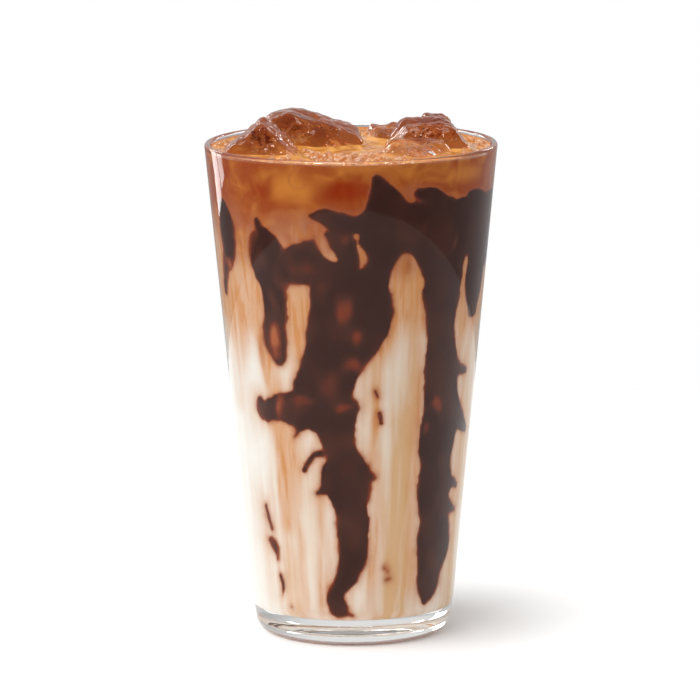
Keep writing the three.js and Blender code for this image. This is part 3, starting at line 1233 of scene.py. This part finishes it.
@dataclass
class Drink:
    """One layer of the drink, filling the glass to just inside its wall.

    Attributes:
        layer: Which layer it is.
        paint: What shows along the wall.
        bite: How far it reaches into the wall, so that no gap shows.
        sides: Vertices in a ring.
        step: Height of a row of the wall.
        surface_step: Width of a ring of the surface.
        climb: How far the surface climbs the glass and the ice.
        climb_reach: Distance over which it climbs.
    """

    layer: Layer
    paint: WallPaint
    bite: float = 0.05
    sides: int = 380
    step: float = 0.6
    surface_step: float = 0.6
    climb: float = 0.9
    climb_reach: float = 1.1

    def profile(self) -> list[Corner]:
        """The layer's half section, from the axis below to the axis above.

        Returns:
            (radius, height) of each ring.
        """
        floor = SHAPE.floor - self.bite
        if self.layer is Layer.MILK:
            corner = SHAPE.inside(SHAPE.floor + SHAPE.floor_corner) - SHAPE.floor_corner
            radii = np.linspace(0.0, corner, 12)[:-1]
            bottom = [(r, floor) for r in radii]
            low, top = SHAPE.floor + SHAPE.floor_corner, SHAPE.milk_level
            bottom += arc(corner, low, SHAPE.floor_corner + self.bite, -90, 0, 10)[:-1]
        else:
            low, top = SHAPE.milk_level, SHAPE.drink_level
            radii = np.linspace(0.0, SHAPE.inside(low), 8)[:-1]
            bottom = [(r, low) for r in radii]
        heights = np.linspace(low, top, int((top - low) / self.step))
        wall = [(SHAPE.inside(z) + self.bite, z) for z in heights]
        edge = SHAPE.inside(top)
        rings = int(edge / self.surface_step) if self.layer is Layer.COFFEE else 8
        surface = [(r, top) for r in np.linspace(edge, 0.0, rings + 1)[1:]]
        return bottom + wall + surface

    def build(self, lumps: list["IceLump"]) -> bpy.types.Object:
        """Makes the layer, with its surface risen at the wall and the ice and hollowed round the ice.

        Args:
            lumps: The lumps of ice that stand in it.

        Returns:
            The layer's object.
        """
        profile = self.profile()
        turned = Turned(profile, self.sides)
        points, angles, starts = turned.rings()
        radius = np.hypot(points[:, 0], points[:, 1])
        top_height = profile[-1][1]
        on_top = (points[:, 2] >= top_height - 1e-6) & (self.layer is Layer.COFFEE)
        on_side = radius >= SHAPE.contents(np.maximum(points[:, 2], SHAPE.floor)) - 0.2
        if self.layer is Layer.COFFEE:
            wall_gap = np.maximum(SHAPE.inside(top_height) - radius, 0.0)
            ice_gap = np.min([lump.clearance(points) for lump in lumps], axis=0)
            rise = np.exp(-wall_gap / self.climb_reach) + np.exp(-np.maximum(ice_gap, 0.0) / self.climb_reach)
            x, y = points[:, 0], points[:, 1]
            swell = 0.35 * np.sin(x / 2.3 + np.sin(y / 3.1)) * np.cos(y / 2.0)
            calm = ease(0.5, 6.0, np.minimum(wall_gap, ice_gap))
            points[:, 2] += np.where(on_top, self.climb * np.minimum(rise, 1.2) + calm * swell, 0.0)
        piece = mesh_piece(self.layer.value + "_layer", points, turned.faces(starts, len(points)))
        for name, values in self.paint.masks(angles, points[:, 2]).items():
            paint(piece, name, values)
        paint(piece, "side", on_side.astype(float))
        paint(piece, "top", (on_top & ~on_side).astype(float))
        return piece

    def hollow(self, piece: bpy.types.Object, lumps: list["IceLump"]) -> None:
        """Cuts the drink round the sunk part of each lump of ice.

        Args:
            piece: The layer's object.
            lumps: The lumps of ice that stand in it.
        """
        for lump in lumps:
            cutter = lump.cutter()
            cut = piece.modifiers.new("ice_hollow", "BOOLEAN")
            cut.operation, cut.solver, cut.object = "DIFFERENCE", "MANIFOLD", cutter
            bpy.context.view_layer.objects.active = piece
            bpy.ops.object.modifier_apply(modifier=cut.name)
            bpy.data.objects.remove(cutter)
        piece.data.polygons.foreach_set("use_smooth", np.ones(len(piece.data.polygons), dtype=bool))

    def dress(self, piece: bpy.types.Object, material: bpy.types.Material) -> None:
        """Gives the layer its finish and its place in the part.

        Args:
            piece: The layer.
            material: The layer's material.
        """
        piece.data.set_sharp_from_angle(angle=math.radians(50))
        piece.data.materials.clear()
        piece.data.materials.append(material)
        piece.visible_shadow = self.layer is Layer.MILK
        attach(piece, BODY)
        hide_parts(self.layer.value)


@dataclass
class IceLump:
    """A melting block of ice.

    Attributes:
        name: Name of the solid that it stands for.
        middle: Its middle.
        faces: (angle round the glass, angle above level, distance from the middle) of each flat face.
        bubbles: How many small bubbles are frozen into it.
        big_bubbles: (x, y, z, radius) of the larger ones.
        crispness: How sharp melting has left its edges.
        melt: Depth of the hollows that melting has left.
        clear_depth: How deep the drink round it is clear enough to see into.
        seed: Seed of its unevenness.
    """

    name: str
    middle: tuple[float, float, float]
    faces: tuple[Station, ...]
    bubbles: int = 12
    big_bubbles: tuple[tuple[float, float, float, float], ...] = ()
    crispness: float = 13.0
    melt: float = 0.9
    clear_depth: float = 4.5
    seed: int = 1

    def reach(self, ways: np.ndarray) -> np.ndarray:
        """Distance from the middle to the surface.

        Args:
            ways: One unit direction in each row.

        Returns:
            The distance along each.
        """
        nearness = np.zeros(len(ways))
        for around, above, distance in self.faces:
            a, e = math.radians(around), math.radians(above)
            normal = np.array([math.sin(a) * math.cos(e), -math.cos(a) * math.cos(e), math.sin(e)])
            nearness += np.maximum(ways @ normal / distance, 0.0) ** self.crispness
        return nearness ** (-1 / self.crispness)

    def uneven(self, ways: np.ndarray) -> np.ndarray:
        """Melted hollows and ripples of the surface.

        Args:
            ways: One unit direction in each row.

        Returns:
            Millimetres added to the reach along each.
        """
        shift = Vector((self.seed * 7.3, self.seed * 3.1, self.seed * 5.7))
        broad = np.array([noise.noise(Vector(w) * 2.3 + shift) for w in ways])
        fine = np.array([noise.noise(Vector(w) * 6.5 + shift) for w in ways])
        return self.melt * (broad - 0.3) + 0.35 * self.melt * fine

    def clearance(self, points: np.ndarray) -> np.ndarray:
        """How far points lie outside the lump.

        Args:
            points: One row of x, y, z for each.

        Returns:
            Millimetres along the way from the lump's middle, negative inside.
        """
        offset = points - np.array(self.middle)
        distance = np.maximum(np.linalg.norm(offset, axis=1), 1e-6)
        return distance - self.reach(offset / distance[:, None])

    def ball(self, detail: int) -> tuple[np.ndarray, list[tuple[int, ...]]]:
        """A unit ball's vertices and faces.

        Args:
            detail: Subdivisions of the ball.

        Returns:
            The vertices and the faces.
        """
        shape = bmesh.new()
        bmesh.ops.create_icosphere(shape, subdivisions=detail, radius=1.0)
        shape.verts.index_update()
        ways = np.array([v.co[:] for v in shape.verts])
        faces = [tuple(v.index for v in f.verts) for f in shape.faces]
        shape.free()
        return ways / np.linalg.norm(ways, axis=1)[:, None], faces

    def cutter(self, inset: float = 0.06) -> bpy.types.Object:
        """A block to hollow the drink with, as deep as light shows the lump.

        Args:
            inset: How much smaller than the lump it is.

        Returns:
            The block's object.
        """
        ways, faces = self.ball(6)
        points = np.array(self.middle) + ways * (self.reach(ways) + self.uneven(ways) - inset)[:, None]
        swell = 0.9 * np.sin(points[:, 0] / 2.1) * np.cos(points[:, 1] / 1.7)
        bed = SHAPE.drink_level - self.clear_depth + swell
        points[:, 2] = np.where(points[:, 2] < bed, bed + 0.05 * (points[:, 2] - bed), points[:, 2])
        return mesh_piece(self.name + "_hollow", points, faces)

    def build(self) -> bpy.types.Object:
        """Makes the lump, with bubbles as hollows in it.

        Returns:
            The lump's object.
        """
        ways, faces = self.ball(6)
        middle = np.array(self.middle)
        points = [middle + ways * (self.reach(ways) + self.uneven(ways))[:, None]]
        every = list(faces)
        rng = np.random.default_rng(self.seed)
        small_ways, small_faces = self.ball(3)
        taken = [np.array(b) for b in self.big_bubbles]
        for _ in range(self.bubbles):
            way = rng.normal(size=3)
            way[2] = abs(way[2])
            way /= np.linalg.norm(way)
            radius = rng.uniform(0.12, 0.5)
            depth = self.reach(way[None])[0] * rng.uniform(0.35, 0.92) - radius - 0.6
            taken.append(np.append(middle + way * depth, radius))
        for bubble in taken:
            start = sum(len(p) for p in points)
            points.append(bubble[:3] + small_ways * bubble[3])
            every += [tuple(start + k for k in reversed(f)) for f in small_faces]
        return mesh_piece(self.name + "_block", np.vstack(points), every)

    def dress(self, piece: bpy.types.Object, material: bpy.types.Material) -> None:
        """Gives the lump its finish and its place in the part.

        Args:
            piece: The lump.
            material: The ice's material.
        """
        piece.data.materials.append(material)
        piece.visible_shadow = False
        piece.visible_diffuse = False
        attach(piece, BODY)
        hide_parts(self.name)


def ice_lumps() -> list[IceLump]:
    """The lumps of ice that stand out of the drink."""
    return [
        IceLump("ice_left_front", (-26, -9.5, 146), (
            (-88, 51, 9.3), (78, 52, 9.2), (-10, 12, 10), (170, 10, 7.4), (120, 0, 9), (95, -15, 10),
            (-95, -20, 11), (0, -90, 12)), bubbles=10, seed=1),
        IceLump("ice_left_tall", (-10, 9, 146), (
            (80, 71, 9), (-82, 73, 13.6), (20, 36, 10.2), (-32, 5, 10.5), (10, -10, 13), (180, 15, 11),
            (95, 22, 14.4), (95, -5, 14.4), (-92, 8, 17.4), (0, -90, 15)), bubbles=12, seed=2),
        IceLump("ice_middle_small", (11.8, 19.5, 143), (
            (0, 80, 7.2), (-60, 30, 6.4), (80, 20, 5), (0, 10, 6), (180, 0, 7.5), (-110, -10, 7),
            (110, -10, 7), (0, -90, 10)), bubbles=6, seed=3),
        IceLump("ice_right_main", (23, -0.5, 145), (
            (-5, 82, 10), (90, 43, 11.5), (-75, 35, 11), (0, 26, 8.2), (0, -5, 8.2), (180, 5, 8.4),
            (90, -20, 12), (-90, -10, 11.2), (0, -90, 14)), bubbles=40, seed=4),
        IceLump("ice_right_back", (27.8, 17.3, 147), (
            (0, 85, 7), (60, 30, 5.8), (95, 28, 4.6), (-70, 20, 5.8), (-10, 10, 6), (170, 10, 7.5),
            (100, -20, 6.5), (-100, -20, 7), (0, -90, 12)), bubbles=26, seed=5),
        IceLump("ice_right_front", (20, -19, 143), (
            (0, 75, 6.7), (60, 40, 7.5), (-50, 40, 7.4), (0, -8, 8), (180, 0, 8), (95, -8, 10), (-95, -8, 10),
            (0, -90, 11)), bubbles=40, big_bubbles=((23.2, -22, 147.4, 1.7),), seed=6),
    ]


@dataclass
class Tumbler:
    """The glass itself, polished all round.

    Attributes:
        sides: Vertices in a ring.
        rows: Rings up each wall.
    """

    sides: int = 192
    rows: int = 24

    def profile(self) -> list[Corner]:
        """The glass's half section, from the axis under the foot, up outside and down inside.

        Returns:
            (radius, height) of each ring.
        """
        s = SHAPE
        lip = s.rim_wall / 2
        lip_height = s.height - lip
        corner = s.inside(s.floor + s.floor_corner) - s.floor_corner
        under = np.linspace(0.0, s.punt_radius, 12)
        punt = [(r, s.punt_depth * (1 - (r / s.punt_radius) ** 2)) for r in under]
        heel = arc(s.foot_radius - s.heel_radius, s.heel_radius, s.heel_radius, -90, 0, 10)
        up = np.linspace(s.heel_radius, lip_height, self.rows)[1:-1]
        rim = arc(s.outside(lip_height) - lip, lip_height, lip, 0, 180, 12)
        down = np.linspace(lip_height, s.floor + s.floor_corner, self.rows)[1:-1]
        inner = arc(corner, s.floor + s.floor_corner, s.floor_corner, 0, -90, 8)
        outer_wall = [(s.outside(z), z) for z in up]
        inner_wall = [(s.inside(z), z) for z in down]
        floor = [(r, s.floor) for r in np.linspace(corner, 0.0, 10)[1:]]
        return punt + heel + outer_wall + rim + inner_wall + inner + floor

    def build(self) -> bpy.types.Object:
        """Makes the glass."""
        return Turned(self.profile(), self.sides).build("glass_tumbler")[0]

    def dress(self, piece: bpy.types.Object, material: bpy.types.Material) -> None:
        """Gives the glass its finish and its place in the part.

        Args:
            piece: The glass.
            material: The glass's material.
        """
        piece.data.materials.append(material)
        piece.visible_shadow = False
        piece.visible_diffuse = False
        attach(piece, BODY)
        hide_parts("glass")


@dataclass
class Foam:
    """Small bubbles gathered along the glass and between the lumps of ice.

    Attributes:
        count: How many are tried.
        smallest: Radius of the smallest.
        largest: Radius of the largest.
        seed: Seed of their places.
    """

    count: int = 1500
    smallest: float = 0.22
    largest: float = 1.3
    seed: int = 31

    def build(self, lumps: list[IceLump]) -> bpy.types.Object:
        """Makes the bubbles where the surface is clear.

        Args:
            lumps: The lumps of ice to keep clear of.

        Returns:
            All the bubbles as one object.
        """
        rng = np.random.default_rng(self.seed)
        ways, faces = lumps[0].ball(2)
        edge = SHAPE.inside(SHAPE.drink_level)
        points, every, taken = [], [], []
        for _ in range(self.count):
            size = self.smallest + (self.largest - self.smallest) * rng.random() ** 2.5
            turn = math.radians(rng.normal(-4, 22)) if rng.random() < 0.6 else rng.uniform(-math.pi, math.pi)
            inward = rng.exponential(0.8) if rng.random() < 0.35 else rng.uniform(0, 26)
            radius = edge - size - 0.25 - inward
            level = SHAPE.drink_level + 0.35 * size
            place = np.array([radius * math.sin(turn), -radius * math.cos(turn), level])
            clear = min(lump.clearance(place[None])[0] for lump in lumps) > size * 0.6
            apart = all(np.linalg.norm(place - p) > 0.9 * (size + s) for p, s in taken)
            if clear and apart and radius > 4:
                start = len(points) * len(ways)
                points.append(place + ways * size)
                every += [tuple(start + k for k in f) for f in faces]
                taken.append((place, size))
        return mesh_piece("foam_bubbles", np.vstack(points), every)

    def dress(self, piece: bpy.types.Object, material: bpy.types.Material) -> None:
        """Gives the bubbles their finish and their place in the part.

        Args:
            piece: The bubbles.
            material: The foam's material.
        """
        piece.data.materials.append(material)
        piece.visible_shadow = False
        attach(piece, BODY)


@dataclass(frozen=True)
class Lamp:
    """A soft oblong lamp that faces the glass.

    Attributes:
        name: The lamp's name.
        place: Where it stands.
        size: Its width and height.
        glow: How bright its face looks, where 1 is white.
        lights: Whether it lights what is dull.
        mirrored: Whether it shows in what is shiny or clear.
        aim_height: Height of the point that it faces.
    """

    name: str
    place: Station
    size: tuple[float, float]
    glow: float
    lights: bool = False
    mirrored: bool = True
    aim_height: float = 75.0

    def build(self) -> None:
        """Sets the lamp up."""
        data = bpy.data.lights.new(self.name, "AREA")
        data.shape, data.size, data.size_y = "RECTANGLE", self.size[0] * MM, self.size[1] * MM
        data.energy = self.glow * math.pi * data.size * data.size_y
        lamp = bpy.data.objects.new(self.name, data)
        lamp.location = Vector(self.place) * MM
        aim = Vector((0, 0, self.aim_height)) - Vector(self.place)
        lamp.rotation_euler = aim.to_track_quat("-Z", "Y").to_euler()
        lamp.visible_diffuse = self.lights
        lamp.visible_glossy = lamp.visible_transmission = self.mirrored
        bpy.context.scene.collection.objects.link(lamp)


@dataclass
class Studio:
    """A pale floor in white surroundings, lit softly from above on the left, and the camera.

    Attributes:
        eye: Where the camera stands.
        target: What it looks at.
        roll: Its tilt to the side, in radians.
        lens: Its focal length.
        floor_radius: Radius of the floor; the white surroundings carry on from its edge.
        back: Brightness behind.
        front: Brightness in front.
        overhead: Brightness overhead.
        right: Share of that brightness left on the right.
        low_left: Brightness beyond the floor on the left.
        low_right: Brightness beyond the floor on the right.
        lamps: The lamps.
    """

    eye: tuple[float, float, float] = (-0.585, -1806.76, 397.57)
    target: tuple[float, float, float] = (-0.585, 0.0, 85.72)
    roll: float = -0.0051
    lens: float = 313.02
    floor_radius: float = 420.0
    back: float = 0.75
    front: float = 0.35
    overhead: float = 0.8
    right: float = 0.5
    low_left: float = 0.35
    low_right: float = 0.45
    lamps: tuple[Lamp, ...] = (
        Lamp("key", (-230, -250, 1290), (640, 640), 9.2, lights=True),
        Lamp("side", (-367, 339, 122), (90, 200), 4.6),
        Lamp("side_far", (-423, 273, 124), (66, 200), 4.6),
        Lamp("glint", (-420, -720, 870), (50, 420), 60.0),
        Lamp("glint_right", (400, -520, 900), (44, 320), 50.0),
        Lamp("back_left", (-450, 650, 420), (60, 300), 16.0),
        Lamp("back_right", (420, 700, 400), (50, 280), 14.0),
        Lamp("fill", (-900, -500, 450), (700, 700), 0.9, lights=True, mirrored=False),
    )

    def camera(self) -> None:
        """Makes the camera at the photograph's viewing angle."""
        data = bpy.data.cameras.new("camera")
        data.sensor_width = 36.0
        data.lens = self.lens
        data.clip_end = 50.0
        camera = bpy.data.objects.new("camera", data)
        look = (Vector(self.target) - Vector(self.eye)).normalized()
        right = look.cross(Vector((0, 0, 1))).normalized()
        up = right.cross(look)
        across = right * math.cos(self.roll) + up * math.sin(self.roll)
        over = up * math.cos(self.roll) - right * math.sin(self.roll)
        turn = Matrix((across, over, -look)).transposed()
        camera.matrix_world = Matrix.Translation(Vector(self.eye) * MM) @ turn.to_4x4()
        bpy.context.scene.collection.objects.link(camera)
        bpy.context.scene.camera = camera

    def floor(self) -> None:
        """Lays the floor."""
        turn = np.linspace(0, 2 * math.pi, 97)[:-1]
        edge = np.stack([self.floor_radius * np.cos(turn), self.floor_radius * np.sin(turn), 0 * turn], 1)
        piece = mesh_piece("floor", edge, [tuple(range(len(turn)))])
        piece.data.materials.append(FloorFinish().material())

    def surroundings(self) -> None:
        """Makes the white surroundings, dimmer in front so that what is dark stays dark."""
        world = bpy.data.worlds.new("surroundings")
        bpy.context.scene.world = world
        world.use_nodes = True
        nodes = Nodes(world.node_tree)
        background = next(n for n in world.node_tree.nodes if n.type == "BACKGROUND")
        parts = nodes.add("ShaderNodeSeparateXYZ")
        nodes.set(parts.inputs[0], nodes.add("ShaderNodeTexCoord").outputs["Generated"])
        x, y, z = parts.outputs
        level_sky = nodes.span(y, -0.75, 0.1, self.front, self.back)
        sky = nodes.math("MAXIMUM", level_sky, nodes.span(z, 0.3, 0.7, 0.0, self.overhead))
        sky = nodes.math("MULTIPLY", sky, nodes.span(x, 0.2, 0.85, 1.0, self.right))
        low = nodes.span(x, -0.5, 0.5, self.low_left, self.low_right)
        low = nodes.math("MINIMUM", low, nodes.span(y, -0.6, 0.2, self.front, 1.0))
        upward = nodes.span(z, -0.08, 0.12)
        below = nodes.math("MULTIPLY", low, nodes.math("SUBTRACT", 1.0, upward))
        level = nodes.math("ADD", nodes.math("MULTIPLY", sky, upward), below)
        seen = nodes.add("ShaderNodeLightPath").outputs["Is Camera Ray"]
        nodes.set(background.inputs["Strength"], nodes.math("MAXIMUM", level, seen))
        background.inputs["Color"].default_value = (1.0, 1.0, 1.0, 1.0)

    def build(self) -> None:
        """Sets up the whole studio."""
        bpy.context.scene.view_settings.view_transform = "Standard"
        self.camera()
        self.floor()
        self.surroundings()
        for lamp in self.lamps:
            lamp.build()


def report(piece: bpy.types.Object) -> None:
    """Logs a finished piece and how many faces it has."""
    LOG.info("%s: %d faces", piece.name, len(piece.data.polygons))


def main() -> None:
    """Builds and dresses every piece in order."""
    logging.basicConfig(level=logging.INFO, format="%(message)s")
    Studio().build()
    tumbler = Tumbler()
    glass = tumbler.build()
    tumbler.dress(glass, GlassFinish().material())
    report(glass)
    sauce = SauceFinish().material()
    for coat in COATS:
        piece = coat.build()
        coat.dress(piece, sauce)
        report(piece)
    lumps = ice_lumps()
    for layer in Layer:
        drink = Drink(layer, WallPaint(COATS))
        piece = drink.build(lumps)
        if layer is Layer.COFFEE:
            drink.hollow(piece, lumps)
        drink.dress(piece, DrinkFinish().material(layer.value + "_drink"))
        report(piece)
    ice = IceFinish().material()
    for lump in lumps:
        piece = lump.build()
        lump.dress(piece, ice)
        report(piece)
    foam = Foam()
    bubbles = foam.build(lumps)
    foam.dress(bubbles, FoamFinish().material())
    report(bubbles)


if __name__ == "__main__":
    main()
